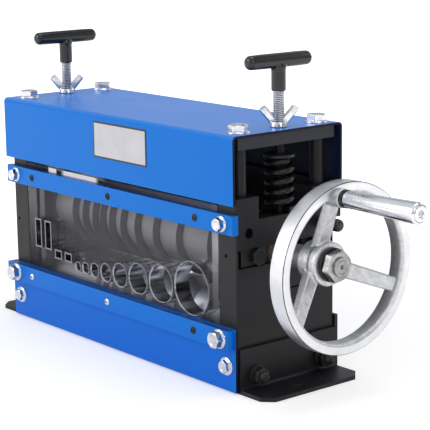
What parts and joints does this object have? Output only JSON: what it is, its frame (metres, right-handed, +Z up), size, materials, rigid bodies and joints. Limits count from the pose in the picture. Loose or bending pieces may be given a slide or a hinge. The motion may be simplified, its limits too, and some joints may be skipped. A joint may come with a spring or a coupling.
{
  "type": "hand crank wire stripper",
  "caption": "Bench wire stripper: handwheel turns a blade shaft over a grooved roller, T-screws set the depth, cables enter round and flat guides.",
  "frame": {"origin": "halfway between the two bench bolt holes, on the bench plane", "axes": "+Z up, +X along the machine towards the handwheel, -Y the side where cables are fed in"},
  "size_m": [0.5305, 0.1413, 0.2768],
  "materials": {
    "blue_paint": "gloss enamel",
    "black_paint": "satin enamel",
    "zinc_steel": "bright zinc plate",
    "bright_steel": "turned and polished",
    "blade_steel": "ground",
    "cast_aluminium": "cast, polished rim",
    "black_oxide": "black oxide",
    "black_plastic": "moulded",
    "clear_window": "scuffed clear sheet",
    "bronze": "machined"
  },
  "bodies": {
    "frame": {"feed_guide_1": "bright_steel", "feed_guide_2": "bright_steel", "feed_guide_3": "bright_steel", "feed_guide_4": "bright_steel", "feed_guide_5": "bright_steel", "feed_guide_6": "bright_steel", "feed_guide_7": "bright_steel", "feed_guide_8": "bright_steel", "feed_window": "clear_window", "foot_bolts": "black_oxide", "guide_pad_bolts": "black_oxide", "guide_pads": "black_oxide", "hood": "blue_paint", "hood_bolts": "zinc_steel", "hood_posts": "bright_steel", "left_cross_bar": "black_paint", "left_foot_angle": "black_paint", "left_side_plate": "black_paint", "left_spring": "black_oxide", "lower_bar_bolts": "zinc_steel", "lower_front_bar": "blue_paint", "lower_front_panel": "blue_paint", "lower_rear_panel": "black_paint", "panel_bolts": "zinc_steel", "rest_pin": "black_plastic", "ribbon_guides": "bright_steel", "right_cross_bar": "black_paint", "right_foot_angle": "black_paint", "right_side_plate": "black_paint", "right_spring": "black_oxide", "roller_bushes": "bronze", "upper_bar_bolts": "zinc_steel", "upper_front_bar": "blue_paint", "upper_rear_bar": "black_paint", "upright_guides": "bright_steel", "window_brackets": "zinc_steel", "window_screws": "zinc_steel"},
    "carriage": {"left_bearing_block": "black_paint", "right_bearing_block": "black_paint", "shaft_bushes": "bronze"},
    "rotor": {"blade_shaft": "bright_steel", "stripping_blades": "blade_steel", "spacer_drums": "bright_steel", "blade_clamp_nut": "black_oxide", "handwheel": "cast_aluminium", "hub_key": "bright_steel", "hub_washer": "black_oxide", "hub_nut": "black_oxide", "handle_bolt": "bright_steel", "handle_base_ring": "black_oxide"},
    "crank_handle": {"handle_sleeve": "bright_steel"},
    "left_screw": {"left_adjusting_screw": "zinc_steel", "left_t_grip": "black_plastic", "left_spring_washer": "zinc_steel"},
    "right_screw": {"right_adjusting_screw": "zinc_steel", "right_t_grip": "black_plastic", "right_spring_washer": "zinc_steel"},
    "roller": {"feed_roller": "bright_steel"},
    "left_wing": {"left_wing_nut": "zinc_steel"},
    "right_wing": {"right_wing_nut": "zinc_steel"}
  },
  "joints": [
    {"name": "carriage_lift", "type": "slide", "parent": "frame", "child": "carriage", "axis": [0, 0, 1], "range_m": [-0.001, 0.008], "deforming": ["left_spring", "right_spring"]},
    {"name": "left_screw_turn", "type": "hinge", "parent": "carriage", "child": "left_screw", "pos_m": [-0.15575, 0.0125, 0.2], "axis": [0, 0, 1], "range_deg": [-241, 1921]},
    {"name": "right_screw_turn", "type": "hinge", "parent": "carriage", "child": "right_screw", "pos_m": [0.15575, 0.0125, 0.2], "axis": [0, 0, 1], "range_deg": [-241, 1921]},
    {"name": "crank_spin", "type": "hinge", "parent": "carriage", "child": "rotor", "pos_m": [0, 0.0097, 0.1106], "axis": [1, 0, 0], "continuous": true},
    {"name": "handle_spin", "type": "hinge", "parent": "rotor", "child": "crank_handle", "pos_m": [0.288, 0.00177, 0.16927], "axis": [1, 0, 0], "continuous": true},
    {"name": "roller_spin", "type": "hinge", "parent": "frame", "child": "roller", "pos_m": [0, 0.0097, 0.038], "axis": [1, 0, 0], "continuous": true},
    {"name": "left_wing_turn", "type": "hinge", "parent": "frame", "child": "left_wing", "pos_m": [-0.15575, 0.0125, 0.22], "axis": [0, 0, 1], "range_deg": [0, 360]},
    {"name": "right_wing_turn", "type": "hinge", "parent": "frame", "child": "right_wing", "pos_m": [0.15575, 0.0125, 0.22], "axis": [0, 0, 1], "range_deg": [0, 360]}
  ],
  "couplings": [
    {"joint": "left_screw_turn", "follows": "carriage_lift", "rad_per_m": 4188.8},
    {"joint": "right_screw_turn", "follows": "carriage_lift", "rad_per_m": 4188.8}
  ]
}
